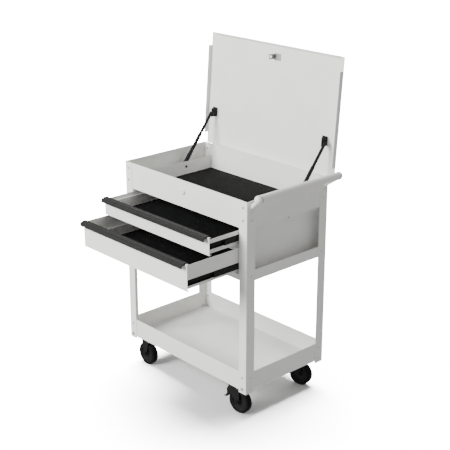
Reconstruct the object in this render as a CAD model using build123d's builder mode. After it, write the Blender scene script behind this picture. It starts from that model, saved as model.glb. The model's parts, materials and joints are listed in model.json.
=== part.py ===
from build123d import *
from math import atan2, cos, degrees, hypot, radians, sin
import os

# Rolling tool chest: an open-frame service cart with a lidded top compartment,
# two drawers on ball-bearing slides, a lower tray and four casters.
#
# Frame: origin on the floor under the centre of the four posts, +X towards the
# push handle, -Y out of the front (the drawers open that way), +Z up.
# The chest is drawn with its lid open and both drawers part open.

os.makedirs("parts", exist_ok=True)

# --- Driving dimensions, mm -------------------------------------------------
width = 780.0            # over the posts
depth = 473.0            # over the posts
wheel_d = 108.0
caster_height = 134.0    # floor to the underside of the tray

sheet = 1.2              # folded panels
plate = 2.0              # posts
drawer_sheet = 1.0

post_bottom = 123.0
post_top = 979.0
post_front_flange = 43.0
post_side_flange = 47.0

tray_top = 219.0
band_bottom = 861.0      # lower edge of the top compartment's panels
case_bottom = 633.0      # lower edge of the drawer case
rail_top = 680.0         # top of the side rails under the recess
front_rail_top = 658.0
wall_half = 342.0        # inner face of the drawer case's side walls
wall_top = 923.0
strap_top_y = 77.0       # bolt through the side wall that holds a lid stay's foot bracket
strap_top_z = 899.0
strap_bolt_r = 3.0
liner_t = 2.0

lid_half = 402.0
lid_lean = 4.3           # degrees past upright when open
lid_depth = 24.0         # hinge axis to the lid's outer face
lid_lip = 22.0           # depth of the lid's flanges
lid_back = 4.7           # lid edge behind the hinge axis
lid_front = 513.0        # lid edge in front of the hinge axis
hinge_y = 238.5
hinge_z = 976.0
knuckle_r = 3.5
pin_r = 2.0
run = 0.05               # running clearance, on the radius

drawer_half = 338.8      # upper part of a drawer's sides
drawer_step = 329.3      # lower part, inboard of the slides
drawer_run = 430.0       # length of a drawer behind its front
closed_front = -235.5    # face of a closed drawer
slide_length = 400.0
slide_half = 14.0
pull_out = 20.0          # how far a pull stands in front of its drawer

lock_z = 930.0
handle_x = 450.0
handle_z = 1004.0
handle_half = 232.0
handle_r = 16.5

caster_left_x = 306.0
caster_right_x = 292.0
caster_front_y = 200.0
caster_rear_y = 172.0
trail = 26.0
wheel_w = 32.0

screw_r = 2.5
screw_hole_r = 2.75
bolt_r = 4.0
bolt_hole_r = 4.3

# --- Derived places ---------------------------------------------------------
half_w = width / 2
half_d = depth / 2
panel_x = half_w - plate     # outer face of the side panels
panel_y = half_d - plate     # outer face of the front and back panels
inner_x = panel_x - sheet
inner_y = panel_y - sheet
wheel_r = wheel_d / 2

lid_plane = Plane(
    origin=(0, hinge_y, hinge_z),
    x_dir=(1, 0, 0),
    z_dir=(0, -cos(radians(lid_lean)), sin(radians(lid_lean))),
)


def finish(builder, name):
    """Label a finished piece and write it."""
    builder.part.label = name
    export_step(builder.part, f"parts/{name}.step")


def corner_align(sx, sy):
    """Alignment that puts a rectangle inside the corner it is placed on."""
    return (
        Align.MAX if sx > 0 else Align.MIN,
        Align.MAX if sy > 0 else Align.MIN,
    )


# --- Screws that hold the frame: their places, used for holes and for screws ---
end_screw_x = half_w - 22.0
side_screw_y = half_d - 27.0
band_screw_z = (952.0, 898.0)
tray_screw_z = (196.0, 143.0)
rail_screw_z = (656.0,)
foot_y = 211.5                      # handle foot, and its screw
foot_z = 953.0
foot_screw_z = (937.5,)
foot_t = 3.5

end_screws = [(sx * end_screw_x, z) for sx in (-1, 1) for z in band_screw_z + tray_screw_z]
left_screws = [
    (-half_w, sy * side_screw_y, z)
    for sy in (-1, 1)
    for z in band_screw_z + rail_screw_z + tray_screw_z
]
right_screws = [
    (half_w, sy * side_screw_y, z)
    for sy in (-1, 1)
    for z in band_screw_z[1:] + rail_screw_z + tray_screw_z
]
handle_screws = [(half_w, sy * foot_y, z) for sy in (-1, 1) for z in foot_screw_z]


def drill_ends():
    """Screw holes through whatever stands at the front and back faces."""
    with Locations(*[(x, 0, z) for x, z in end_screws]):
        Cylinder(screw_hole_r, depth + 20, rotation=(90, 0, 0), mode=Mode.SUBTRACT)


def drill_sides():
    """Screw holes through whatever stands at the left and right faces."""
    with Locations(*(left_screws + right_screws + handle_screws)):
        Cylinder(screw_hole_r, 30, rotation=(0, 90, 0), mode=Mode.SUBTRACT)


# --- Posts: four folded angles, outside the panels --------------------------
corners = {
    "front_left": (-1, -1),
    "front_right": (1, -1),
    "rear_left": (-1, 1),
    "rear_right": (1, 1),
}
for corner, (sx, sy) in corners.items():
    with BuildPart() as post:
        with BuildSketch(Plane.XY.offset(post_bottom)):
            with Locations((sx * half_w, sy * half_d)):
                Rectangle(post_front_flange, plate, align=corner_align(sx, sy))
                Rectangle(plate, post_side_flange, align=corner_align(sx, sy))
        extrude(amount=post_top - post_bottom)
        bend = post.edges().filter_by(Axis.Z).sort_by_distance((sx * half_w, sy * half_d, 500))[0]
        fillet(bend, radius=1.8)
        drill_ends()
        drill_sides()
    finish(post, f"post_{corner}")

# --- Top compartment: four hemmed panels ------------------------------------
hem = 10.0
lock_r = 8.0

for name, sy in (("front", -1), ("rear", 1)):
    with BuildPart() as panel:
        with BuildSketch(Plane.XY.offset(band_bottom)):
            with Locations((0, sy * panel_y)):
                Rectangle(2 * panel_x, sheet, align=(Align.CENTER, corner_align(1, sy)[1]))
            if sy > 0:
                for sx in (-1, 1):
                    with Locations((sx * inner_x, inner_y)):
                        Rectangle(sheet, 17.0, align=corner_align(sx, sy))
        extrude(amount=post_top - band_bottom)
        with BuildSketch(Plane.XY.offset(post_top - hem)):
            with Locations((0, sy * inner_y)):
                Rectangle(
                    2 * (inner_x - 20.0), sheet, align=(Align.CENTER, corner_align(1, sy)[1])
                )
        extrude(amount=hem)
        drill_ends()
        if sy < 0:
            with Locations((0, -panel_y, lock_z)):
                Cylinder(lock_r + 0.25, 20, rotation=(90, 0, 0), mode=Mode.SUBTRACT)
        if sy > 0:
            drill_sides()
    finish(panel, f"top_{name}_panel")

for name, sx in (("left", -1), ("right", 1)):
    with BuildPart() as panel:
        with BuildSketch(Plane.XY.offset(band_bottom)):
            with Locations((sx * panel_x, 0)):
                Rectangle(sheet, 2 * inner_y, align=(corner_align(sx, 1)[0], Align.CENTER))
        extrude(amount=post_top - band_bottom)
        with BuildSketch(Plane.XY.offset(post_top - hem)):
            with Locations((sx * inner_x, 0)):
                Rectangle(
                    sheet, 2 * (inner_y - 20.0), align=(corner_align(sx, 1)[0], Align.CENTER)
                )
        extrude(amount=hem)
        with BuildSketch(Plane.XY.offset(band_bottom)):
            with Locations((sx * inner_x, 0)):
                Rectangle(14.0, 2 * (inner_y - 20.0), align=(corner_align(sx, 1)[0], Align.CENTER))
        extrude(amount=sheet)
        drill_sides()
    finish(panel, f"top_{name}_panel")

# --- Drawer case: recessed side walls, back, bottom rails -------------------
with BuildPart() as walls:
    with BuildSketch(Plane.XY.offset(case_bottom + sheet)):
        for sx in (-1, 1):
            with Locations((sx * (wall_half + sheet), 0)):
                Rectangle(sheet, 2 * inner_y, align=(corner_align(sx, 1)[0], Align.CENTER))
    extrude(amount=wall_top - case_bottom - sheet)
    with BuildSketch(Plane.XY.offset(case_bottom + sheet)):
        for sx, sy in corners.values():
            with Locations((sx * inner_x, sy * panel_y)):
                Rectangle(inner_x - wall_half, sheet, align=corner_align(sx, sy))
    extrude(amount=band_bottom - case_bottom - sheet)
    with Locations((0, strap_top_y, strap_top_z)):
        Cylinder(strap_bolt_r + 0.3, width, rotation=(0, 90, 0), mode=Mode.SUBTRACT)
finish(walls, "case_side_walls")

with BuildPart() as side_rails:
    with BuildSketch(Plane.XY.offset(case_bottom)):
        for sx in (-1, 1):
            with Locations((sx * panel_x, 0)):
                Rectangle(sheet, 2 * inner_y, align=(corner_align(sx, 1)[0], Align.CENTER))
    extrude(amount=rail_top - case_bottom)
    with BuildSketch(Plane.XY.offset(case_bottom)):
        for sx in (-1, 1):
            with Locations((sx * inner_x, 0)):
                Rectangle(
                    inner_x - wall_half, 2 * inner_y, align=(corner_align(sx, 1)[0], Align.CENTER)
                )
    extrude(amount=sheet)
    drill_sides()
finish(side_rails, "side_rails")

with BuildPart() as back:
    with BuildSketch(Plane.XY.offset(case_bottom)):
        with Locations((0, panel_y)):
            Rectangle(2 * wall_half, sheet, align=(Align.CENTER, Align.MAX))
    extrude(amount=band_bottom - case_bottom)
finish(back, "case_back")

rail_top_flange = 28.0
rail_bottom_flange = 22.0
with BuildPart() as front_rail:
    with BuildSketch(Plane.YZ.offset(-wall_half)):
        with BuildLine():
            Polyline(
                (-panel_y, case_bottom),
                (-panel_y, front_rail_top),
                (-panel_y + rail_top_flange, front_rail_top),
                (-panel_y + rail_top_flange, front_rail_top - sheet),
                (-inner_y, front_rail_top - sheet),
                (-inner_y, case_bottom + sheet),
                (-panel_y + rail_bottom_flange, case_bottom + sheet),
                (-panel_y + rail_bottom_flange, case_bottom),
                close=True,
            )
        make_face()
    extrude(amount=2 * wall_half)
finish(front_rail, "front_rail")

with BuildPart() as floor:
    with BuildSketch(Plane.XY.offset(band_bottom)):
        Rectangle(2 * wall_half, 2 * inner_y)
    extrude(amount=sheet)
finish(floor, "compartment_floor")

with BuildPart() as liner:
    with BuildSketch(Plane.XY.offset(band_bottom + sheet)):
        RectangleRounded(2 * (wall_half - 2.0), 2 * (inner_y - 4.0), 4.0)
    extrude(amount=liner_t)
finish(liner, "compartment_liner")

# --- Lower tray -------------------------------------------------------------
bolt_dx = 36.0           # caster bolts, from the middle of the plate
bolt_dy = 24.0
caster_places = [
    (x, y) for x in (-caster_left_x, caster_right_x) for y in (-caster_front_y, caster_rear_y)
]
caster_holes = [
    (x + dx, y + dy)
    for x, y in caster_places
    for dx in (-bolt_dx, bolt_dx)
    for dy in (-bolt_dy, bolt_dy)
]
tray_sheet = 1.5

with BuildPart() as tray:
    with BuildSketch(Plane.XY.offset(caster_height)):
        Rectangle(2 * panel_x, 2 * panel_y)
    extrude(amount=tray_top - caster_height)
    fillet(tray.edges().filter_by(Axis.Z), radius=3.0)
    hollow = tray.faces().sort_by(Axis.Z)[-1]
    offset(amount=-tray_sheet, openings=hollow)
    drill_ends()
    drill_sides()
    with Locations(*[(x, y, caster_height) for x, y in caster_holes]):
        Cylinder(bolt_hole_r, 10, mode=Mode.SUBTRACT)
finish(tray, "bottom_tray")

# --- Lid: a shallow pan with notched corners --------------------------------
lid_mid = (lid_front - lid_back) / 2
lid_length = lid_front + lid_back
flange_from = 45.0       # the side flanges start this far in front of the hinge
flange_to = lid_front - 60.0
front_flange_end = 24.0  # the front flange stops short of the corners

with BuildPart() as lid:
    with BuildSketch(lid_plane.offset(-lid_depth)):
        with Locations((0, lid_mid)):
            RectangleRounded(2 * lid_half, lid_length, 2.5)
    extrude(amount=sheet)
    with BuildSketch(lid_plane.offset(-lid_depth)):
        for sx in (-1, 1):
            with Locations((sx * lid_half, (flange_to + flange_from) / 2)):
                Rectangle(
                    sheet,
                    flange_to - flange_from,
                    align=(corner_align(sx, 1)[0], Align.CENTER),
                )
        with Locations((0, lid_front)):
            Rectangle(
                2 * (lid_half - front_flange_end), sheet, align=(Align.CENTER, Align.MAX)
            )
        with Locations((0, -lid_back)):
            Rectangle(2 * (lid_half - flange_from), sheet, align=(Align.CENTER, Align.MIN))
    extrude(amount=lid_lip)
finish(lid, "lid")

# --- Piano hinge: two leaves with interleaved knuckles, one pin --------------
knuckle_pitch = 42.5
knuckle_gap = 0.6
knuckle_count = 16
hinge_half = knuckle_pitch * knuckle_count / 2
leaf = 1.5
case_knuckles = [
    -hinge_half + knuckle_pitch * (i + 0.5) for i in range(0, knuckle_count, 2)
]
lid_knuckles = [x + knuckle_pitch for x in case_knuckles]
knuckle_length = knuckle_pitch - knuckle_gap

with BuildPart() as case_leaf:
    with Locations((0, panel_y, hinge_z - knuckle_r - 0.8)):
        Box(2 * hinge_half, leaf, 24.0, align=(Align.CENTER, Align.MIN, Align.MAX))
    with Locations(*[(x, panel_y, hinge_z) for x in case_knuckles]):
        Box(knuckle_length, leaf, knuckle_r + 1.0, align=(Align.CENTER, Align.MIN, Align.MAX))
    with Locations(*[(x, hinge_y, hinge_z) for x in case_knuckles]):
        Cylinder(knuckle_r, knuckle_length, rotation=(0, 90, 0))
    with Locations((0, hinge_y, hinge_z)):
        Cylinder(pin_r + run, width, rotation=(0, 90, 0), mode=Mode.SUBTRACT)
finish(case_leaf, "hinge_leaf_case")

with BuildPart() as lid_leaf:
    with BuildSketch(lid_plane.offset(-lid_depth + sheet)):
        with Locations((0, -lid_back + sheet)):
            Rectangle(2 * hinge_half, leaf, align=(Align.CENTER, Align.MIN))
    extrude(amount=lid_depth - sheet - knuckle_r - 0.8)
    with BuildSketch(lid_plane.offset(-knuckle_r - 1.0)):
        with Locations(*[(x, -lid_back + sheet) for x in lid_knuckles]):
            Rectangle(knuckle_length, leaf, align=(Align.CENTER, Align.MIN))
    extrude(amount=knuckle_r + 1.0)
    with Locations(*[(x, hinge_y, hinge_z) for x in lid_knuckles]):
        Cylinder(knuckle_r, knuckle_length, rotation=(0, 90, 0))
    with Locations((0, hinge_y, hinge_z)):
        Cylinder(pin_r + run, width, rotation=(0, 90, 0), mode=Mode.SUBTRACT)
finish(lid_leaf, "hinge_leaf_lid")

with BuildPart() as hinge_pin:
    with Locations((0, hinge_y, hinge_z)):
        Cylinder(pin_r, 2 * hinge_half, rotation=(0, 90, 0))
finish(hinge_pin, "hinge_pin")

# --- Lock: barrel in the front panel, turning plug, hooked cam, keeper on the lid ---
plug_r = 5.5
lock_proud = 7.0
lock_face_r = 13.0
barrel_back = -inner_y + 12.0
cam_t = 2.0
cam_reach = 46.0

with BuildPart() as barrel:
    with BuildSketch(Plane.XZ.offset(panel_y)):
        with Locations((0, lock_z)):
            Circle(lock_face_r)
    extrude(amount=lock_proud)
    fillet(barrel.faces().sort_by(Axis.Y)[0].edges(), radius=5.0)
    with BuildSketch(Plane.XZ.offset(-barrel_back)):
        with Locations((0, lock_z)):
            Circle(lock_r)
    extrude(amount=panel_y + barrel_back)
    with BuildSketch(Plane.XZ.offset(inner_y - 4.0)):
        with Locations((0, lock_z)):
            RegularPolygon(12.0, 6)
    extrude(amount=4.0)
    with Locations((0, -panel_y, lock_z)):
        Cylinder(plug_r + run, 60, rotation=(90, 0, 0), mode=Mode.SUBTRACT)
finish(barrel, "lock_barrel")

with BuildPart() as plug:
    with BuildSketch(Plane.XZ.offset(panel_y + lock_proud - 0.6)):
        with Locations((0, lock_z)):
            Circle(plug_r)
    extrude(amount=-(panel_y + lock_proud - 0.6 + barrel_back + 0.4))
    with Locations((0, -panel_y - lock_proud + 0.6, lock_z)):
        Box(1.4, 5.0, 7.0, mode=Mode.SUBTRACT)
finish(plug, "lock_plug")

with BuildPart() as cam:
    with BuildSketch(Plane.XZ.offset(-(barrel_back + 0.4))):
        with BuildLine():
            Polyline(
                (8.0, lock_z - 8.0),
                (8.0, lock_z + 8.0),
                (-9.0, lock_z + 8.0),
                (-15.0, lock_z + 3.2),
                (-cam_reach + 8.0, lock_z + 3.2),
                (-cam_reach + 8.0, lock_z + 14.0),
                (-cam_reach + 2.0, lock_z + 14.0),
                (-cam_reach + 2.0, lock_z - 7.0),
                (-15.0, lock_z - 7.0),
                close=True,
            )
        make_face()
    extrude(amount=-cam_t)
finish(cam, "lock_cam")

keeper_x = 4.5
keeper_width = 22.0
keeper_base = 38.0
keeper_base_width = 30.0
keeper_t = 1.5
keeper_y = hinge_y - (barrel_back + 0.4 + cam_t / 2)   # lid length at which the cam stands
hook_low = hinge_z - (lock_z + cam_reach - 8.0)        # below the hinge axis, lid closed
hook_high = hinge_z - (lock_z + cam_reach - 2.0)

with BuildPart() as keeper:
    with BuildSketch(lid_plane.offset(-lid_depth + sheet)):
        with Locations((keeper_x, keeper_y)):
            Rectangle(keeper_base, keeper_base_width, align=(Align.MIN, Align.CENTER))
    extrude(amount=keeper_t)
    with BuildSketch(lid_plane.offset(-lid_depth + sheet)):
        with Locations((keeper_x, keeper_y)):
            Rectangle(keeper_t, keeper_width, align=(Align.MIN, Align.CENTER))
    extrude(amount=lid_depth - sheet + hook_low + 6.0)
    fillet(keeper.edges().filter_by(Axis.X).group_by(Axis.Y)[0], radius=4.0)
    with BuildSketch(lid_plane.offset(hook_high - 5.0)):
        with Locations((keeper_x, keeper_y)):
            Rectangle(4.0, 11.0)
    extrude(amount=hook_low - hook_high + 7.0, mode=Mode.SUBTRACT)
finish(keeper, "lid_keeper")

# --- Telescoping lid stays, one each side -----------------------------------
stay_x = 356.0
stay_up = 145.0          # upper pivot, along the lid from the hinge
stay_in = 4.0            # and inside it
stay_foot_y = 33.6
stay_foot_z = 850.0
stay_eye_r = 7.0
pivot_r = 3.0
rod_r = 6.5
tube_r = 8.0
sleeve_r = 9.5
slip = 0.1

stay_top = lid_plane.from_local_coords(Vector(stay_x, stay_up, stay_in))
stay_length = hypot(stay_top.Y - stay_foot_y, stay_top.Z - stay_foot_z)
shut_y = hinge_y - stay_up
shut_z = hinge_z - stay_in
stay_shut = hypot(shut_y - stay_foot_y, shut_z - stay_foot_z)
stay_stroke = (stay_length - stay_shut) / 2          # of each of the two sliding joints
sleeve_low = stay_eye_r - 1.0                        # lower ends of the members, stay shut
tube_low = stay_eye_r + 1.3
rod_low = stay_eye_r + 1.6
member_top = stay_shut - stay_eye_r - 0.8            # upper end of sleeve and tube, stay shut
stay_dir = Vector(0, stay_top.Y - stay_foot_y, stay_top.Z - stay_foot_z).normalized()


def stay_plane(sx, along):
    """Section plane of a stay, a given distance up from its foot."""
    foot = Vector(sx * stay_x, stay_foot_y, stay_foot_z)
    return Plane(origin=foot + stay_dir * along, x_dir=(1, 0, 0), z_dir=stay_dir)


def stay_member(sx, start, length, outer_r, inner_r):
    """One telescoping member, from its lower end upwards."""
    with BuildSketch(stay_plane(sx, start)) as section:
        Circle(outer_r)
        if inner_r:
            Circle(inner_r, mode=Mode.SUBTRACT)
    extrude(section.sketch, amount=length)


def stay_eye(sx, along, outward):
    """Flat eye at the end of a stay, with the neck that joins it to its member."""
    foot = Vector(sx * stay_x, stay_foot_y, stay_foot_z)
    with Locations(foot + stay_dir * along):
        Cylinder(stay_eye_r, 6.0, rotation=(0, 90, 0))
    with BuildSketch(stay_plane(sx, along)) as neck:
        Rectangle(6.0, 8.0)
    extrude(neck.sketch, amount=outward * (stay_eye_r + 0.5))


with BuildPart() as sleeves:
    for sx in (-1, 1):
        stay_member(sx, sleeve_low, member_top - sleeve_low, sleeve_r, tube_r + slip)
        stay_member(sx, sleeve_low, tube_low - sleeve_low - 0.3, sleeve_r, 0)
        stay_eye(sx, 0.0, 1)
    with Locations(*[(sx * stay_x, stay_foot_y, stay_foot_z) for sx in (-1, 1)]):
        Cylinder(pivot_r + 0.2, 10, rotation=(0, 90, 0), mode=Mode.SUBTRACT)
finish(sleeves, "stay_sleeves")

with BuildPart() as tubes:
    for sx in (-1, 1):
        stay_member(sx, tube_low + stay_stroke, member_top - tube_low, tube_r, rod_r + slip)
finish(tubes, "stay_tubes")

with BuildPart() as rods:
    for sx in (-1, 1):
        rod_length = stay_shut - stay_eye_r + 1.0 - rod_low
        stay_member(sx, rod_low + 2 * stay_stroke, rod_length, rod_r, 0)
        stay_eye(sx, stay_length, -1)
    with Locations(*[(sx * stay_x, stay_top.Y, stay_top.Z) for sx in (-1, 1)]):
        Cylinder(pivot_r + run, 10, rotation=(0, 90, 0), mode=Mode.SUBTRACT)
finish(rods, "stay_rods")

ear_x = 343.0            # inner face of a lid bracket's ear
ear_t = 2.5
ear_length = 40.0
ear_flange = 26.0
with BuildPart() as lid_brackets:
    for sx in (-1, 1):
        low_x = -ear_x - ear_t if sx < 0 else ear_x
        with BuildSketch(lid_plane.offset(-lid_depth + sheet)):
            with Locations((low_x, stay_up + 5.0)):
                Rectangle(ear_t, ear_length, align=(Align.MIN, Align.CENTER))
        extrude(amount=lid_depth - sheet + stay_in + 9.0)
        with BuildSketch(lid_plane.offset(-lid_depth + sheet)):
            with Locations((low_x, stay_up + 5.0)):
                Rectangle(ear_flange, ear_length, align=(Align.MAX, Align.CENTER))
        extrude(amount=2.0)
    with Locations(*[(sx * (ear_x + 8.5), stay_top.Y, stay_top.Z) for sx in (-1, 1)]):
        Cylinder(pivot_r, 16.8, rotation=(0, 90, 0))
finish(lid_brackets, "stay_lid_brackets")

strap_dir = atan2(strap_top_z - stay_foot_z, strap_top_y - stay_foot_y)
strap_length = hypot(strap_top_z - stay_foot_z, strap_top_y - stay_foot_y)
with BuildPart() as foot_brackets:
    for sx in (-1, 1):
        with BuildSketch(Plane.YZ.offset(sx * (wall_half + sheet))):
            mid = ((strap_top_y + stay_foot_y) / 2, (strap_top_z + stay_foot_z) / 2)
            with Locations(mid):
                SlotCenterToCenter(strap_length, 16.0, rotation=degrees(strap_dir))
        extrude(amount=sx * 2.0)
        with BuildSketch(Plane.YZ.offset(sx * wall_half)):
            with Locations((strap_top_y, strap_top_z)):
                Circle(strap_bolt_r)
        extrude(amount=sx * 3.0)
        with BuildSketch(Plane.YZ.offset(sx * wall_half)):
            with Locations((strap_top_y, strap_top_z)):
                Circle(5.5)
        extrude(amount=-sx * 2.0)
finish(foot_brackets, "stay_foot_brackets")

# --- Push handle: a tube between two cast ends bolted to the right-hand posts ---
ball_r = 17.5
tube_half = handle_half - 12.0

with BuildPart() as handle:
    with BuildSketch(Plane.XZ.offset(-tube_half)):
        with Locations((handle_x, handle_z)):
            Circle(handle_r)
            Circle(handle_r - 1.5, mode=Mode.SUBTRACT)
    extrude(amount=2 * tube_half)
finish(handle, "handle_tube")

for name, sy in (("front", -1), ("rear", 1)):
    with BuildPart() as arm:
        with Locations((handle_x, sy * handle_half, handle_z)):
            Sphere(ball_r)
        with BuildSketch(Plane.YZ.offset(half_w)):
            with Locations((sy * foot_y, foot_z)):
                SlotCenterToCenter(26.0, 20.0, rotation=90)
        extrude(amount=foot_t)
        foot_profile = Plane(
            origin=(half_w + 2.0, sy * foot_y, foot_z + 3.0), x_dir=(0, 1, 0), z_dir=(1, 0, 0.35)
        )
        top_profile = Plane(
            origin=(handle_x - 3.0, sy * (handle_half - 1.0), handle_z - 8.0),
            x_dir=(0, 1, 0),
            z_dir=(0.55, 0, 1),
        )
        with BuildSketch(foot_profile):
            Ellipse(8.0, 10.0)
        with BuildSketch(top_profile):
            Ellipse(8.5, 10.0)
        loft()
        with Locations((handle_x, sy * (tube_half - 20.0), handle_z)):
            Box(60, 40, 60, mode=Mode.SUBTRACT)
        with Locations(*handle_screws):
            Cylinder(screw_hole_r, 30, rotation=(0, 90, 0), mode=Mode.SUBTRACT)
        split(bisect_by=Plane.YZ.offset(half_w), keep=Keep.TOP)
    finish(arm, f"handle_end_{name}")

# --- Drawers: pan, front, pull and liner ------------------------------------
drawers = {
    # name: bottom, top of the front, side top, pan bottom, slide centre, opened by
    "upper": (780.5, 855.5, 849.0, 784.5, 816.5, 157.5),
    "lower": (660.5, 774.5, 772.5, 666.0, 694.0, 273.5),
}

for name, (low, top, side_top, pan_low, slide_z, opened) in drawers.items():
    face = closed_front - opened
    pan_front = face + sheet
    shoulder = slide_z + slide_half + 1.0
    hook_z = max(top - 8.0, side_top + 0.3)

    with BuildPart() as pan:
        with BuildSketch(Plane.XZ.offset(-pan_front)):
            with BuildLine() as outline:
                right = Polyline(
                    (0, pan_low),
                    (drawer_step, pan_low),
                    (drawer_step, shoulder),
                    (drawer_half, shoulder),
                    (drawer_half, side_top),
                    (drawer_half - drawer_sheet, side_top),
                    (drawer_half - drawer_sheet, shoulder + drawer_sheet),
                    (drawer_step - drawer_sheet, shoulder + drawer_sheet),
                    (drawer_step - drawer_sheet, pan_low + drawer_sheet),
                    (0, pan_low + drawer_sheet),
                )
                mirror(right, about=Plane.YZ)
            make_face()
        extrude(amount=-drawer_run)
        with BuildSketch(Plane.XZ.offset(-(pan_front + drawer_run - drawer_sheet))):
            with BuildLine():
                half_back = Polyline(
                    (0, pan_low),
                    (drawer_step, pan_low),
                    (drawer_step, shoulder),
                    (drawer_half, shoulder),
                    (drawer_half, side_top),
                    (0, side_top),
                )
                mirror(half_back, about=Plane.YZ)
            make_face()
        extrude(amount=-drawer_sheet)
    finish(pan, f"{name}_drawer_pan")

    with BuildPart() as front:
        with BuildSketch(Plane.YZ.offset(-drawer_half - 0.7)):
            with BuildLine():
                Polyline(
                    (face, low),
                    (face, top),
                    (face + 8.5, top),
                    (face + 8.5, top - sheet),
                    (pan_front, top - sheet),
                    (pan_front, low + sheet),
                    (face + 12.0, low + sheet),
                    (face + 12.0, low),
                    close=True,
                )
            make_face()
        extrude(amount=2 * (drawer_half + 0.7))
    finish(front, f"{name}_drawer_front")

    with BuildPart() as pull:
        with BuildSketch(Plane.YZ.offset(-drawer_half - 0.2)):
            with BuildLine():
                Polyline(
                    (face - pull_out, top - 16.0),
                    (face - pull_out, top - 1.5),
                    (face - pull_out + 2.0, top),
                    (face - 8.0, top + 1.5),
                    (face - 5.0, top + 4.5),
                    (face + 9.5, top + 4.5),
                    (face + 11.0, top + 3.0),
                    (face + 11.0, hook_z),
                    (face + 8.5, hook_z),
                    (face + 8.5, top),
                    (face, top),
                    (face, top - 4.0),
                    (face - pull_out + 3.5, top - 4.0),
                    (face - pull_out + 3.5, top - 16.0),
                    close=True,
                )
            make_face()
        extrude(amount=2 * drawer_half - 11.0)
    finish(pull, f"{name}_drawer_pull")

    with BuildPart() as mat:
        with BuildSketch(Plane.XY.offset(pan_low + drawer_sheet)):
            with Locations((0, pan_front + drawer_run / 2)):
                RectangleRounded(2 * (drawer_step - 3.0), drawer_run - 6.0, 4.0)
        extrude(amount=liner_t)
    finish(mat, f"{name}_drawer_liner")

    # Ball-bearing slides: case rail, middle rail and drawer rail on both sides.
    rails = {
        # part: web outer face, web thickness sign, flange reach, half height, opened by
        "case_rails": (wall_half, 1, 332.5, slide_half, 0.0),
        "middle_rails": (wall_half - 1.8, 1, 332.0, slide_half - 1.5, opened / 2),
        "drawer_rails": (drawer_step, -1, 338.0, slide_half - 3.0, opened),
    }
    for part_name, (web, side, reach, half_height, out) in rails.items():
        start = closed_front + 4.0 - out
        with BuildPart() as slide:
            for sx in (-1, 1):
                with BuildSketch(Plane.XZ.offset(-start)):
                    with Locations((sx * (web + reach) / 2, slide_z)):
                        Rectangle(abs(web - reach), 2 * half_height)
                    with Locations((sx * ((web - side * sheet) + reach) / 2, slide_z)):
                        Rectangle(
                            abs(web - side * sheet - reach),
                            2 * (half_height - sheet),
                            mode=Mode.SUBTRACT,
                        )
                extrude(amount=-slide_length)
        finish(slide, f"{name}_{part_name}")

# --- Casters: two fixed on the left, two swivelling with brakes on the right ---
caster_plate_t = 2.5
caster_plate_x = 92.0
caster_plate_y = 68.0
plate_bottom = caster_height - caster_plate_t
leg_t = 2.5
leg_gap = wheel_w / 2 + 2.0
axle_r = 5.0
race_top = plate_bottom - 0.4
race_low = race_top - 8.0
crown_t = 3.0
crown_low = race_low - crown_t


def caster_bolt_holes(x, y):
    """The four bolt holes of a caster plate centred at x, y."""
    with Locations((x, y, caster_height)):
        with GridLocations(2 * bolt_dx, 2 * bolt_dy, 2, 2):
            Cylinder(bolt_hole_r, 12, mode=Mode.SUBTRACT)


def wheel_profile():
    """Half section of a wheel about its axle: bore, hub, web and tyre."""
    half = wheel_w / 2
    with BuildLine() as outline:
        lower = Polyline(
            (axle_r + run, -half - 1.2),
            (12.0, -half - 1.2),
            (13.0, -half + 3.0),
            (wheel_r - 16.0, -half + 4.5),
            (wheel_r - 15.0, -half + 1.0),
            (wheel_r - 6.0, -half),
        )
        shoulder = ThreePointArc(
            (wheel_r - 6.0, -half), (wheel_r - 1.7, -half + 2.2), (wheel_r - 0.3, -half + 7.0)
        )
        ThreePointArc((wheel_r - 0.3, -half + 7.0), (wheel_r, 0), (wheel_r - 0.3, half - 7.0))
        mirror(lower, about=Plane.XZ)
        mirror(shoulder, about=Plane.XZ)
        Line((axle_r + run, -half - 1.2), (axle_r + run, half + 1.2))
    make_face(outline.line)


def fork_legs(x, y, heading, reach, top, ear=()):
    """Two tapering legs from a fork's crown down to the axle, with an optional pedal ear."""
    base = Plane(origin=(x, y, 0), x_dir=(cos(heading), sin(heading), 0), z_dir=(0, 0, 1))
    side = Plane(origin=(x, y, 0), x_dir=base.x_dir, z_dir=base.y_dir)
    for sign in (-1, 1):
        offset_by = leg_gap if sign > 0 else -leg_gap - leg_t
        with BuildSketch(side.offset(offset_by)) as leg:
            with BuildLine():
                Polyline(
                    (-26.0, -top),
                    *ear,
                    (reach - 9.0, -wheel_r - 2.0),
                    (reach - 9.0, -wheel_r),
                    (reach + 9.0, -wheel_r),
                    (reach + 9.0, -wheel_r - 2.0),
                    (26.0 + reach * 0.3, -top),
                    close=True,
                )
            make_face()
            with Locations((reach, -wheel_r)):
                Circle(9.0)
                Circle(axle_r + 0.15, mode=Mode.SUBTRACT)
        extrude(leg.sketch, amount=leg_t)


fixed_casters = {
    "front_left": (-caster_left_x, -caster_front_y),
    "rear_left": (-caster_left_x, caster_rear_y),
}
swivel_casters = {
    # name: place and the direction in which the wheel trails, degrees from +X
    "front_right": (caster_right_x, -caster_front_y, radians(5.0)),
    "rear_right": (caster_right_x, caster_rear_y, radians(12.0)),
}

with BuildPart() as fixed_forks:
    for x, y in fixed_casters.values():
        with Locations((x, y, plate_bottom)):
            Box(
                caster_plate_x,
                caster_plate_y,
                caster_plate_t,
                align=(Align.CENTER, Align.CENTER, Align.MIN),
            )
        caster_bolt_holes(x, y)
        fork_legs(x, y, 0.0, 0.0, plate_bottom)
finish(fixed_forks, "fixed_caster_forks")


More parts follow.
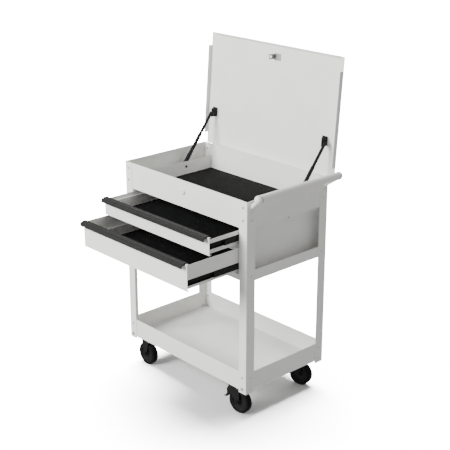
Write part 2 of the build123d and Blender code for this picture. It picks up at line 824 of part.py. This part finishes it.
def axle_bolt(centre, heading):
    """Axle bolt with a round head and a nut, across a fork."""
    side = Plane(
        origin=centre,
        x_dir=(cos(heading), sin(heading), 0),
        z_dir=(-sin(heading), cos(heading), 0),
    )
    outer = leg_gap + leg_t
    with BuildSketch(side.offset(-outer)) as shank:
        Circle(axle_r)
    extrude(shank.sketch, amount=2 * outer)
    with BuildSketch(side.offset(outer)) as nut:
        RegularPolygon(8.0, 6)
    extrude(nut.sketch, amount=5.0)
    with BuildSketch(side.offset(-outer)) as head:
        Circle(8.5)
    extrude(head.sketch, amount=-3.5)


with BuildPart() as fixed_axles:
    for x, y in fixed_casters.values():
        axle_bolt((x, y, wheel_r), 0.0)
finish(fixed_axles, "fixed_caster_axles")

for name, (x, y) in fixed_casters.items():
    hub_plane = Plane(origin=(x, y, wheel_r), x_dir=(0, 0, 1), z_dir=(1, 0, 0))
    with BuildPart() as wheel:
        with BuildSketch(hub_plane):
            wheel_profile()
        revolve(axis=Axis((x, y, wheel_r), (0, 1, 0)))
    finish(wheel, f"wheel_{name}")

kingpin_r = 6.0
race_r = 31.0
with BuildPart() as swivel_plates:
    for x, y, heading in swivel_casters.values():
        with Locations((x, y, plate_bottom)):
            Box(
                caster_plate_x,
                caster_plate_y,
                caster_plate_t,
                align=(Align.CENTER, Align.CENTER, Align.MIN),
            )
        caster_bolt_holes(x, y)
        with BuildSketch(Plane.XY.offset(crown_low - 3.0)):
            with Locations((x, y)):
                Circle(kingpin_r)
        extrude(amount=plate_bottom - crown_low + 3.0)
        with BuildSketch(Plane.XY.offset(crown_low - 3.4)):
            with Locations((x, y)):
                Circle(9.0)
        extrude(amount=3.0)
finish(swivel_plates, "swivel_caster_plates")

pedal_z = 92.0           # pedal pivot above the floor
pedal_fore = -27.0       # pedal pivot from the swivel axis, away from the wheel
pedal_pin_r = 3.0

for name, (x, y, heading) in swivel_casters.items():
    out = Vector(cos(heading), sin(heading), 0)
    hub = Vector(x, y, wheel_r) + out * trail
    across = Vector(-sin(heading), cos(heading), 0)
    side = Plane(origin=(x, y, 0), x_dir=out, z_dir=across)

    with BuildPart() as fork:
        with BuildSketch(Plane.XY.offset(race_low)):
            with Locations((x, y)):
                Circle(race_r)
        extrude(amount=race_top - race_low, taper=12)
        crown = Plane(origin=(x, y, crown_low), x_dir=out, z_dir=(0, 0, 1))
        with BuildSketch(crown):
            with Locations((4.0, 0)):
                Rectangle(60.0, 2 * (leg_gap + leg_t))
            Circle(race_r)
        extrude(amount=crown_t)
        ear = [
            (pedal_fore - 9.0, -pedal_z - 5.0),
            (pedal_fore - 7.0, -pedal_z + 7.0),
            (pedal_fore + 8.0, -pedal_z + 8.0),
        ]
        fork_legs(x, y, heading, trail, crown_low, ear)
        with Locations((x, y, crown_low)):
            Cylinder(kingpin_r + run, 30, mode=Mode.SUBTRACT)
        with BuildSketch(side.offset(-40)):
            with Locations((pedal_fore, -pedal_z)):
                Circle(pedal_pin_r + run)
        extrude(amount=80, mode=Mode.SUBTRACT)
    finish(fork, f"swivel_fork_{name}")

    with BuildPart() as axle:
        axle_bolt(hub, heading)
    finish(axle, f"swivel_axle_{name}")

    with BuildPart() as wheel:
        with BuildSketch(Plane(origin=hub, x_dir=(0, 0, 1), z_dir=out)):
            wheel_profile()
        revolve(axis=Axis(hub, across))
    finish(wheel, f"wheel_{name}")

    with BuildPart() as pedal:
        with BuildSketch(side.offset(-leg_gap - leg_t - 0.5)):
            with Locations((pedal_fore, -pedal_z)):
                Circle(pedal_pin_r)
        extrude(amount=2 * (leg_gap + leg_t + 0.5))
        with BuildSketch(side.offset(-leg_gap + 1.0)):
            with BuildLine():
                Polyline(
                    (pedal_fore + 6.0, -pedal_z - 4.0),
                    (pedal_fore + 5.5, -pedal_z + 4.0),
                    (pedal_fore - 3.0, -pedal_z + 18.0),
                    (pedal_fore - 6.0, -pedal_z + 28.0),
                    (pedal_fore - 12.0, -pedal_z + 34.0),
                    (pedal_fore - 27.0, -pedal_z + 36.0),
                    (pedal_fore - 27.0, -pedal_z + 32.0),
                    (pedal_fore - 15.0, -pedal_z + 28.0),
                    (pedal_fore - 11.0, -pedal_z + 18.0),
                    (pedal_fore - 9.0, -pedal_z - 1.0),
                    close=True,
                )
            make_face()
        extrude(amount=2 * (leg_gap - 1.0))
    finish(pedal, f"brake_pedal_{name}")

# --- Fasteners --------------------------------------------------------------
head_r = 4.8
head_t = 2.0
nut_t = 4.0
corner_head = 1.6        # the lowest screws have larger domed heads


def screw(plane, grip, head_size=1.0):
    """Pan-head screw with its nut: plane lies on the outer face, pointing outwards."""
    with BuildSketch(plane) as head:
        Circle(head_r * head_size)
    extrude(head.sketch, amount=head_t * head_size, taper=18)
    with BuildSketch(plane) as shank:
        Circle(screw_r)
    extrude(shank.sketch, amount=-(grip + nut_t + 1.0))
    with BuildSketch(plane.offset(-grip)) as nut:
        RegularPolygon(4.6, 6)
    extrude(nut.sketch, amount=-nut_t)


tray_grip = plate + tray_sheet
with BuildPart() as frame_screws:
    for x, z in end_screws:
        grip = plate + sheet if z > case_bottom else tray_grip
        size = corner_head if z == min(tray_screw_z) else 1.0
        screw(Plane(origin=(x, -half_d, z), x_dir=(1, 0, 0), z_dir=(0, -1, 0)), grip, size)
        screw(Plane(origin=(x, half_d, z), x_dir=(-1, 0, 0), z_dir=(0, 1, 0)), grip, size)
    for x, y, z in left_screws + right_screws:
        grip = plate + sheet if z > case_bottom else tray_grip
        outward = 1 if x > 0 else -1
        screw(Plane(origin=(x, y, z), x_dir=(0, outward, 0), z_dir=(outward, 0, 0)), grip)
    for x, y, z in handle_screws:
        face = Plane(origin=(x + foot_t, y, z), x_dir=(0, 1, 0), z_dir=(1, 0, 0))
        screw(face, foot_t + plate + sheet)
finish(frame_screws, "frame_screws")

with BuildPart() as caster_bolts:
    for x, y in caster_holes:
        with BuildSketch(Plane.XY.offset(plate_bottom)):
            with Locations((x, y)):
                RegularPolygon(6.5, 6)
        extrude(amount=-5.0)
        with BuildSketch(Plane.XY.offset(plate_bottom)):
            with Locations((x, y)):
                Circle(bolt_r)
        extrude(amount=caster_plate_t + tray_sheet)
finish(caster_bolts, "caster_bolts")
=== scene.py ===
"""Looks of the rolling tool chest: coatings, mats, casters and a plain studio."""

import json
import math

import bmesh
import bpy
from bpy.props import FloatProperty, FloatVectorProperty, PointerProperty
from mathutils import Matrix, Vector


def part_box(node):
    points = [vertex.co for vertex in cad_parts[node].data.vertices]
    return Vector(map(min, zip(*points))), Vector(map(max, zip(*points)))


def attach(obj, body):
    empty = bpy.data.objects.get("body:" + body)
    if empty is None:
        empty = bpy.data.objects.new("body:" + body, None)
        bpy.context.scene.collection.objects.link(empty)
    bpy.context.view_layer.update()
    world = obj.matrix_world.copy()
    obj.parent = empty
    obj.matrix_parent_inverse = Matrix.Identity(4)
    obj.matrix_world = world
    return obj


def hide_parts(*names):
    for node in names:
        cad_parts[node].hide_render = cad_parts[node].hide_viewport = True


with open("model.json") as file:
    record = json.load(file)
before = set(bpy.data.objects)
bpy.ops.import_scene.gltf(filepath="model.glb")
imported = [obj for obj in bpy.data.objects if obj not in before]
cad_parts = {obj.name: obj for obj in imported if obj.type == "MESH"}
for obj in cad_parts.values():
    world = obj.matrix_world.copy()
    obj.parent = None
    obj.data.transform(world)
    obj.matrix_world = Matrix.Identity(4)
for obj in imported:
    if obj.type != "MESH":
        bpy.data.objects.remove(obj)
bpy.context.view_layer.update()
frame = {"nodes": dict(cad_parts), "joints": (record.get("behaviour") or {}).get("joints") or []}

bl_info = {
    "name": "Rolling tool chest",
    "version": (1, 0, 0),
    "blender": (4, 5, 0),
    "location": "View3D > Sidebar > Tool Chest",
    "description": "Coatings, mats, casters and studio for the rolling tool chest",
    "category": "Object",
}

NODES = frame["nodes"]
JOINTS = {joint["name"]: joint for joint in frame["joints"]}

LINERS = {
    "compartment_liner": ("mat_compartment", "root"),
    "upper_drawer_liner": ("mat_upper_drawer", "upper_drawer"),
    "lower_drawer_liner": ("mat_lower_drawer", "lower_drawer"),
}
WHEELS = ("front_left", "rear_left", "front_right", "rear_right")

WHITE_COATED = (
    "post_front_left", "post_front_right", "post_rear_left", "post_rear_right",
    "top_front_panel", "top_rear_panel", "top_left_panel", "top_right_panel",
    "case_side_walls", "case_back", "compartment_floor", "side_rails", "front_rail",
    "bottom_tray", "lid", "handle_tube", "handle_end_front", "handle_end_rear",
    "hinge_leaf_case", "hinge_leaf_lid", "caster_bolts", "lock_barrel", "lock_plug",
)
DRAWER_COATED = (
    "upper_drawer_pan", "upper_drawer_front", "lower_drawer_pan", "lower_drawer_front",
)
BLACK_COATED = (
    "stay_lid_brackets", "stay_foot_brackets", "stay_sleeves", "stay_tubes", "stay_rods",
    "upper_case_rails", "upper_middle_rails", "upper_drawer_rails",
    "lower_case_rails", "lower_middle_rails", "lower_drawer_rails",
    "fixed_caster_forks", "swivel_caster_plates",
    "swivel_fork_front_right", "swivel_fork_rear_right",
)
DARK_STEEL = (
    "fixed_caster_axles", "swivel_axle_front_right", "swivel_axle_rear_right",
)
ZINC = ("hinge_pin", "lock_cam", "frame_screws")
KEEPER = ("lid_keeper",)
PULLS = ("upper_drawer_pull", "lower_drawer_pull")
PEDALS = ("brake_pedal_front_right", "brake_pedal_rear_right")

# Half sections of a wheel in metres, as (radius, along the axle) from one side to
# the middle plane; the other side is their mirror.
TYRE_SECTION = (
    (0.0398, -0.0141), (0.0415, -0.0153), (0.0460, -0.0160), (0.0492, -0.0158),
    (0.0517, -0.0143), (0.0531, -0.0119), (0.0538, -0.0077),
)
TYRE_CROWN = (0.0540, 0.0)
TYRE_SEAT = (0.0390, 0.0)
HUB_SECTION = (
    (0.00505, -0.0171), (0.0110, -0.0171), (0.0124, -0.0158), (0.0132, -0.0121),
    (0.0150, -0.0094), (0.0324, -0.0086), (0.0348, -0.0110), (0.0356, -0.0142),
    (0.0394, -0.0142), (0.0397, -0.0121),
)
HUB_SEAT = (0.0389, 0.0)
TYRE_STEPS = 128
HUB_STEPS = 96

MAT_EDGE = 0.0006            # rounding of a mat's upper edge
MAT_RIB = 0.003              # distance between a mat's ribs
TREAD_RIB = 0.002
SHARP_ANGLE = math.radians(35.0)
WELD = 1e-6
EDGE_FIT = 1e-5              # how closely an edge has to stand upright, or lie on top

FLOOR_HALF = 30.0
AIM = Vector((0.0, 0.0, 0.7))            # what every lamp points at
KEY_PLACE = (-1.2, -4.3, 2.9)
KEY_SIZE = 2.4
BACK_PLACE = (-1.6, 3.2, 3.4)
BACK_SIZE = 2.6
FLOOR_LIGHT_PLACE = (-0.9, 0.5, 4.2)
FLOOR_LIGHT_SPREAD = math.radians(44.0)
CAMERA_PLACE = (3.2824, -3.0248, 2.3536)
CAMERA_TURN = (math.radians(69.925), 0.0, math.radians(47.295))
LENS = 86.34
SENSOR = 36.0
CLIP_END = 200.0


# --- Sizes and colours a user would change ---------------------------------

class ChestFinish(bpy.types.PropertyGroup):
    """Colours and surface of the coatings."""

    coat_colour: FloatVectorProperty(
        name="Coat colour",
        description="Powder coat on the frame, lid and tray",
        subtype="COLOR", size=3, min=0.0, max=1.0, default=(0.80, 0.80, 0.77),
    )
    black_colour: FloatVectorProperty(
        name="Black coat colour",
        description="Coat on the slides, stays and forks",
        subtype="COLOR", size=3, min=0.0, max=1.0, default=(0.006, 0.006, 0.0065),
    )
    pull_colour: FloatVectorProperty(
        name="Pull colour",
        description="Moulded drawer pulls",
        subtype="COLOR", size=3, min=0.0, max=1.0, default=(0.014, 0.014, 0.014),
    )
    mat_colour: FloatVectorProperty(
        name="Mat colour",
        description="Rubber mats in the drawers and compartment",
        subtype="COLOR", size=3, min=0.0, max=1.0, default=(0.006, 0.006, 0.006),
    )
    grain: FloatProperty(
        name="Coat grain",
        description="Distance between the bumps of the powder coat",
        unit="LENGTH", min=0.0002, max=0.01, default=0.0022,
    )


class ChestShape(bpy.types.PropertyGroup):
    """Sizes of the pieces added to the frame."""

    mat_corner: FloatProperty(
        name="Mat corner",
        description="Corner radius of the mats",
        unit="LENGTH", min=0.0, max=0.05, default=0.006,
    )


class ChestStage(bpy.types.PropertyGroup):
    """The studio round the chest."""

    floor_colour: FloatVectorProperty(
        name="Floor colour",
        description="Pale studio floor",
        subtype="COLOR", size=3, min=0.0, max=1.0, default=(0.74, 0.74, 0.74),
    )
    key_energy: FloatProperty(
        name="Key light",
        description="Power of the large light in front",
        unit="POWER", min=0.0, default=520.0,
    )
    fill_energy: FloatProperty(
        name="Back light",
        description="Power of the broad light behind and above",
        unit="POWER", min=0.0, default=110.0,
    )
    floor_light: FloatProperty(
        name="Floor light",
        description="Strength of the soft light that whitens the floor and throws the shadow",
        min=0.0, default=88.0,
    )
    world_strength: FloatProperty(
        name="Room light",
        description="Strength of the even light from all round",
        min=0.0, default=0.6,
    )


# --- Materials -------------------------------------------------------------

def new_material(name):
    """An empty node material with its shader and Object coordinates."""
    material = bpy.data.materials.new(name)
    material.use_nodes = True
    tree = material.node_tree
    shader = tree.nodes["Principled BSDF"]
    coords = tree.nodes.new("ShaderNodeTexCoord")
    return material, tree, shader, coords.outputs["Object"]


def noise(tree, vector, size, detail=2.0, roughness=0.5):
    """Noise whose features are about the given size across, in metres."""
    node = tree.nodes.new("ShaderNodeTexNoise")
    node.inputs["Scale"].default_value = 1.0 / size
    node.inputs["Detail"].default_value = detail
    node.inputs["Roughness"].default_value = roughness
    tree.links.new(vector, node.inputs["Vector"])
    return node.outputs["Fac"]


def ranged(tree, value, low, high, start=0.3, end=0.7):
    """The value spread between two limits."""
    node = tree.nodes.new("ShaderNodeMapRange")
    node.inputs["From Min"].default_value = start
    node.inputs["From Max"].default_value = end
    node.inputs["To Min"].default_value = low
    node.inputs["To Max"].default_value = high
    tree.links.new(value, node.inputs["Value"])
    return node.outputs["Result"]


def blended(tree, factor, first, second):
    """Two colours mixed by a factor."""
    node = tree.nodes.new("ShaderNodeMix")
    node.data_type = "RGBA"
    node.inputs["A"].default_value = (*first, 1.0)
    node.inputs["B"].default_value = (*second, 1.0)
    tree.links.new(factor, node.inputs["Factor"])
    return node.outputs["Result"]


def bumped(tree, shader, height, depth, strength=0.5, after=None):
    """A bump of the given depth in metres on the shader."""
    node = tree.nodes.new("ShaderNodeBump")
    node.inputs["Strength"].default_value = strength
    node.inputs["Distance"].default_value = depth
    tree.links.new(height, node.inputs["Height"])
    if after is not None:
        tree.links.new(after, node.inputs["Normal"])
    tree.links.new(node.outputs["Normal"], shader.inputs["Normal"])
    return node.outputs["Normal"]


def tinted(colour, factor):
    """A colour made lighter or darker."""
    return tuple(min(1.0, part * factor) for part in colour)


def powder_coat(name, colour, grain, roughness=(0.42, 0.52), specular=0.4):
    """Sprayed powder coat: fine orange peel, faint cloudiness, patchy roughness."""
    material, tree, shader, vector = new_material(name)
    shader.inputs["Specular IOR Level"].default_value = specular
    cloud = noise(tree, vector, 0.12, 3.0)
    colour_out = blended(
        tree, ranged(tree, cloud, 0.0, 1.0), tinted(colour, 0.97), tinted(colour, 1.02)
    )
    tree.links.new(colour_out, shader.inputs["Base Color"])
    smudge = noise(tree, vector, 0.035, 4.0, 0.6)
    tree.links.new(ranged(tree, smudge, *roughness), shader.inputs["Roughness"])
    wave = noise(tree, vector, 0.09, 1.0)
    soft = bumped(tree, shader, wave, 0.0012, 0.2)
    peel = noise(tree, vector, grain, 1.0, 0.4)
    bumped(tree, shader, peel, grain * 0.06, 0.5, soft)
    return material


def rubber(name, colour, rib, axis="X", roughness=0.88):
    """Rubber with fine moulded ribs and patches of dust."""
    material, tree, shader, vector = new_material(name)
    shader.inputs["Specular IOR Level"].default_value = 0.12
    dust = noise(tree, vector, 0.03, 5.0, 0.65)
    colour_out = blended(
        tree, ranged(tree, dust, 0.0, 1.0), tinted(colour, 0.8), tinted(colour, 1.5)
    )
    tree.links.new(colour_out, shader.inputs["Base Color"])
    worn = ranged(tree, dust, roughness - 0.08, roughness + 0.08)
    tree.links.new(worn, shader.inputs["Roughness"])
    ribs = tree.nodes.new("ShaderNodeTexWave")
    ribs.bands_direction = axis
    ribs.inputs["Scale"].default_value = 0.314 / rib
    ribs.inputs["Distortion"].default_value = 0.0
    tree.links.new(vector, ribs.inputs["Vector"])
    ribbed = bumped(tree, shader, ribs.outputs["Fac"], rib * 0.25, 0.6)
    pores = noise(tree, vector, 0.0012, 2.0)
    bumped(tree, shader, pores, 0.0001, 0.5, ribbed)
    return material


def moulded(name, colour, grain=0.0011, roughness=0.62):
    """Moulded plastic with a spark-eroded grain and scuffs."""
    material, tree, shader, vector = new_material(name)
    shader.inputs["Specular IOR Level"].default_value = 0.22
    scuff = noise(tree, vector, 0.02, 6.0, 0.7)
    colour_out = blended(
        tree, ranged(tree, scuff, 0.0, 1.0), tinted(colour, 0.85), tinted(colour, 1.25)
    )
    tree.links.new(colour_out, shader.inputs["Base Color"])
    worn = ranged(tree, scuff, roughness - 0.1, roughness + 0.08)
    tree.links.new(worn, shader.inputs["Roughness"])
    cells = tree.nodes.new("ShaderNodeTexVoronoi")
    cells.inputs["Scale"].default_value = 1.0 / grain
    tree.links.new(vector, cells.inputs["Vector"])
    bumped(tree, shader, cells.outputs["Distance"], grain * 0.15, 0.6)
    return material


def plated_steel(name, colour, roughness=(0.25, 0.42)):
    """Plated steel: drawn lines, and patches where the plating is duller."""
    material, tree, shader, vector = new_material(name)
    shader.inputs["Metallic"].default_value = 1.0
    stretch = tree.nodes.new("ShaderNodeMapping")
    stretch.inputs["Scale"].default_value = (30.0, 400.0, 400.0)
    tree.links.new(vector, stretch.inputs["Vector"])
    lines = noise(tree, stretch.outputs["Vector"], 1.0, 3.0)
    patches = noise(tree, vector, 0.006, 3.0)
    colour_out = blended(
        tree, ranged(tree, patches, 0.0, 1.0), tinted(colour, 0.85), tinted(colour, 1.1)
    )
    tree.links.new(colour_out, shader.inputs["Base Color"])
    tree.links.new(ranged(tree, patches, *roughness), shader.inputs["Roughness"])
    bumped(tree, shader, lines, 0.00003, 0.4)
    return material


def dress(names, material):
    """Gives CAD nodes their finish."""
    for name in names:
        data = NODES[name].data
        data.materials.clear()
        data.materials.append(material)


# --- Mesh helpers ----------------------------------------------------------

def piece_from(bm, name, material, body, smooth=True):
    """Turns a bmesh into a finished piece that rides on a body."""
    bmesh.ops.remove_doubles(bm, verts=bm.verts, dist=WELD)
    bmesh.ops.recalc_face_normals(bm, faces=bm.faces)
    mesh = bpy.data.meshes.new(name)
    bm.to_mesh(mesh)
    bm.free()
    for polygon in mesh.polygons:
        polygon.use_smooth = smooth
    if smooth:
        mesh.set_sharp_from_angle(angle=SHARP_ANGLE)
    mesh.materials.append(material)
    piece = bpy.data.objects.new(name, mesh)
    bpy.context.scene.collection.objects.link(piece)
    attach(piece, body)
    return piece


def whole_section(side, middle=(), seat=()):
    """A wheel's closed section: one side, its middle point, the mirrored side, its seat."""
    other = [(radius, -along) for radius, along in reversed(side)]
    return [*side, *middle, *other, *seat]


def spun(profile, matrix, steps):
    """A closed ring: (radius, along) points turned about the local Z axis, then placed."""
    bm = bmesh.new()
    verts = [bm.verts.new((radius, 0.0, along)) for radius, along in profile]
    edges = [bm.edges.new((verts[i], verts[(i + 1) % len(verts)])) for i in range(len(verts))]
    bmesh.ops.spin(
        bm, geom=verts + edges, cent=(0, 0, 0), axis=(0, 0, 1), dvec=(0, 0, 0),
        angle=math.tau, steps=steps, use_merge=True, use_duplicate=False,
    )
    bmesh.ops.transform(bm, matrix=matrix, verts=bm.verts)
    return bm


def aim_lamp(scene, lamp, place, target):
    """Hangs a lamp at a place, turned to its target."""
    holder = bpy.data.objects.new(lamp.name, lamp)
    holder.location = place
    holder.rotation_euler = (target - Vector(place)).to_track_quat("-Z", "Y").to_euler()
    scene.collection.objects.link(holder)
    return holder


# --- Operators -------------------------------------------------------------

class CHEST_OT_coatings(bpy.types.Operator):
    """Give every CAD node its coating, plating or moulded finish"""

    bl_idname = "chest.coatings"
    bl_label = "Coat the frame"

    def execute(self, context):
        finish = context.scene.chest_finish
        white = tuple(finish.coat_colour)
        dress(WHITE_COATED, powder_coat("white powder coat", white, finish.grain))
        dress(DRAWER_COATED, powder_coat("drawer powder coat", white, finish.grain))
        black = tuple(finish.black_colour)
        black_coat = powder_coat("black powder coat", black, 0.0014, (0.5, 0.65), 0.18)
        dress(BLACK_COATED, black_coat)
        dark_steel = plated_steel("blackened steel", (0.02, 0.02, 0.021), (0.3, 0.45))
        dress(DARK_STEEL, dark_steel)
        dress(ZINC, plated_steel("nickel plate", (0.72, 0.72, 0.70)))
        # The keeper's mid grey is partly its own plating and partly painted shade: the colour is
        # darkened to show the shade in its frame and along its edges.
        keeper_grey_with_painted_shade = plated_steel("grey plate with painted shade", (0.42, 0.42, 0.41), (0.35, 0.5))
        dress(KEEPER, keeper_grey_with_painted_shade)
        dress(PULLS, moulded("pull plastic", tuple(finish.pull_colour)))
        dress(PEDALS, moulded("pedal plastic", (0.008, 0.008, 0.009)))
        return {"FINISHED"}


class CHEST_OT_mats(bpy.types.Operator):
    """Lay the ribbed rubber mats in the compartment and both drawers"""

    bl_idname = "chest.mats"
    bl_label = "Lay the mats"

    def execute(self, context):
        corner = context.scene.chest_shape.mat_corner
        colour = tuple(context.scene.chest_finish.mat_colour)
        material = rubber("mat rubber", colour, MAT_RIB)
        for node, (name, body) in LINERS.items():
            low, high = (Vector(c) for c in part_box(node))
            bm = bmesh.new()
            bmesh.ops.create_cube(bm, size=1.0)
            bmesh.ops.scale(bm, vec=high - low, verts=bm.verts)
            bmesh.ops.translate(bm, vec=(low + high) / 2, verts=bm.verts)
            upright = [
                e for e in bm.edges if abs(e.verts[0].co.z - e.verts[1].co.z) > EDGE_FIT
            ]
            bmesh.ops.bevel(
                bm, geom=upright, offset=corner, offset_type="OFFSET", affect="EDGES",
                segments=6, profile=0.5, material=-1,
            )
            top = [e for e in bm.edges if all(v.co.z > high.z - EDGE_FIT for v in e.verts)]
            bmesh.ops.bevel(
                bm, geom=top, offset=MAT_EDGE, offset_type="OFFSET", affect="EDGES",
                segments=2, profile=0.5, material=-1,
            )
            mat = piece_from(bm, name, material, body)
            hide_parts(node)
        return {"FINISHED"}


class CHEST_OT_wheels(bpy.types.Operator):
    """Make each caster's tyre and its moulded hub"""

    bl_idname = "chest.wheels"
    bl_label = "Make the wheels"

    def execute(self, context):
        tyre_rubber = rubber("tyre rubber", (0.005, 0.005, 0.005), TREAD_RIB, "Z", 0.85)
        hub_plastic = moulded("hub plastic", (0.006, 0.006, 0.0065), 0.0009, 0.6)
        tyre_profile = whole_section(TYRE_SECTION, [TYRE_CROWN], [TYRE_SEAT])
        hub_profile = whole_section(HUB_SECTION, [HUB_SEAT])
        for place in WHEELS:
            node = f"wheel_{place}"
            joint = JOINTS[f"roll_{place}"]
            axis = Vector(joint["axis"]).normalized()
            turn = axis.to_track_quat("Z", "Y").to_matrix().to_4x4()
            matrix = Matrix.Translation(Vector(joint["pos_m"])) @ turn
            ring = spun(tyre_profile, matrix, TYRE_STEPS)
            tyre = piece_from(ring, f"tyre_{place}", tyre_rubber, node)
            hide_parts(node)
            core = spun(hub_profile, matrix, HUB_STEPS)
            piece_from(core, f"hub_{place}", hub_plastic, node)
        return {"FINISHED"}


class CHEST_OT_studio(bpy.types.Operator):
    """Set the pale floor, the soft lights and the camera"""

    bl_idname = "chest.studio"
    bl_label = "Set the studio"

    def execute(self, context):
        scene = context.scene
        stage = scene.chest_stage
        bm = bmesh.new()
        bmesh.ops.create_grid(bm, x_segments=1, y_segments=1, size=FLOOR_HALF)
        mesh = bpy.data.meshes.new("floor")
        bm.to_mesh(mesh)
        bm.free()
        floor = bpy.data.objects.new("floor", mesh)
        scene.collection.objects.link(floor)
        material, tree, shader, vector = new_material("studio floor")
        pale = tuple(stage.floor_colour)
        cloud = noise(tree, vector, 0.8, 2.0)
        colour = blended(tree, ranged(tree, cloud, 0.0, 1.0), tinted(pale, 0.995), pale)
        tree.links.new(colour, shader.inputs["Base Color"])
        shader.inputs["Roughness"].default_value = 0.6
        shader.inputs["Specular IOR Level"].default_value = 0.1
        mesh.materials.append(material)

        world = bpy.data.worlds.new("studio")
        world.use_nodes = True
        room = world.node_tree.nodes["Background"]
        room.inputs["Color"].default_value = (1.0, 1.0, 1.0, 1.0)
        room.inputs["Strength"].default_value = stage.world_strength
        scene.world = world

        lamps = (
            ("key_light", KEY_PLACE, KEY_SIZE, stage.key_energy),
            ("back_light", BACK_PLACE, BACK_SIZE, stage.fill_energy),
        )
        for name, place, size, energy in lamps:
            lamp = bpy.data.lights.new(name, "AREA")
            lamp.shape = "SQUARE"
            lamp.size = size
            lamp.energy = energy
            aim_lamp(scene, lamp, place, AIM)

        sun = bpy.data.lights.new("floor_light", "SUN")
        sun.energy = stage.floor_light
        sun.angle = FLOOR_LIGHT_SPREAD
        holder = aim_lamp(scene, sun, FLOOR_LIGHT_PLACE, AIM)
        lit = bpy.data.collections.new("lit by the floor light")
        lit.objects.link(floor)
        holder.light_linking.receiver_collection = lit
        floor.visible_diffuse = False
        floor.visible_glossy = False

        lens = bpy.data.cameras.new("camera")
        lens.lens = LENS
        lens.sensor_width = SENSOR
        lens.clip_end = CLIP_END
        camera = bpy.data.objects.new("camera", lens)
        camera.location = CAMERA_PLACE
        camera.rotation_euler = CAMERA_TURN
        scene.collection.objects.link(camera)
        scene.camera = camera
        return {"FINISHED"}


class CHEST_PT_panel(bpy.types.Panel):
    """Lists the steps that dress the chest"""

    bl_idname = "CHEST_PT_panel"
    bl_label = "Tool Chest"
    bl_space_type = "VIEW_3D"
    bl_region_type = "UI"
    bl_category = "Tool Chest"

    def draw(self, context):
        layout = self.layout
        for group in ("chest_finish", "chest_shape", "chest_stage"):
            settings = getattr(context.scene, group)
            box = layout.box()
            for name in settings.bl_rna.properties.keys():
                if name not in {"rna_type", "name"}:
                    box.prop(settings, name)
        for operator in OPERATORS:
            layout.operator(operator.bl_idname)


GROUPS = {
    "chest_finish": ChestFinish,
    "chest_shape": ChestShape,
    "chest_stage": ChestStage,
}
OPERATORS = (
    CHEST_OT_coatings,
    CHEST_OT_mats,
    CHEST_OT_wheels,
    CHEST_OT_studio,
)


def register():
    """Adds the settings, the steps and the panel."""
    for group in GROUPS.values():
        bpy.utils.register_class(group)
    for name, group in GROUPS.items():
        setattr(bpy.types.Scene, name, PointerProperty(type=group))
    for operator in OPERATORS:
        bpy.utils.register_class(operator)
    bpy.utils.register_class(CHEST_PT_panel)


def unregister():
    """Takes away what register added."""
    bpy.utils.unregister_class(CHEST_PT_panel)
    for operator in reversed(OPERATORS):
        bpy.utils.unregister_class(operator)
    for name, group in GROUPS.items():
        delattr(bpy.types.Scene, name)
        bpy.utils.unregister_class(group)


def main():
    """Runs every step in order."""
    register()
    bpy.ops.chest.coatings()
    bpy.ops.chest.mats()
    bpy.ops.chest.wheels()
    bpy.ops.chest.studio()


if __name__ == "__main__":
    main()
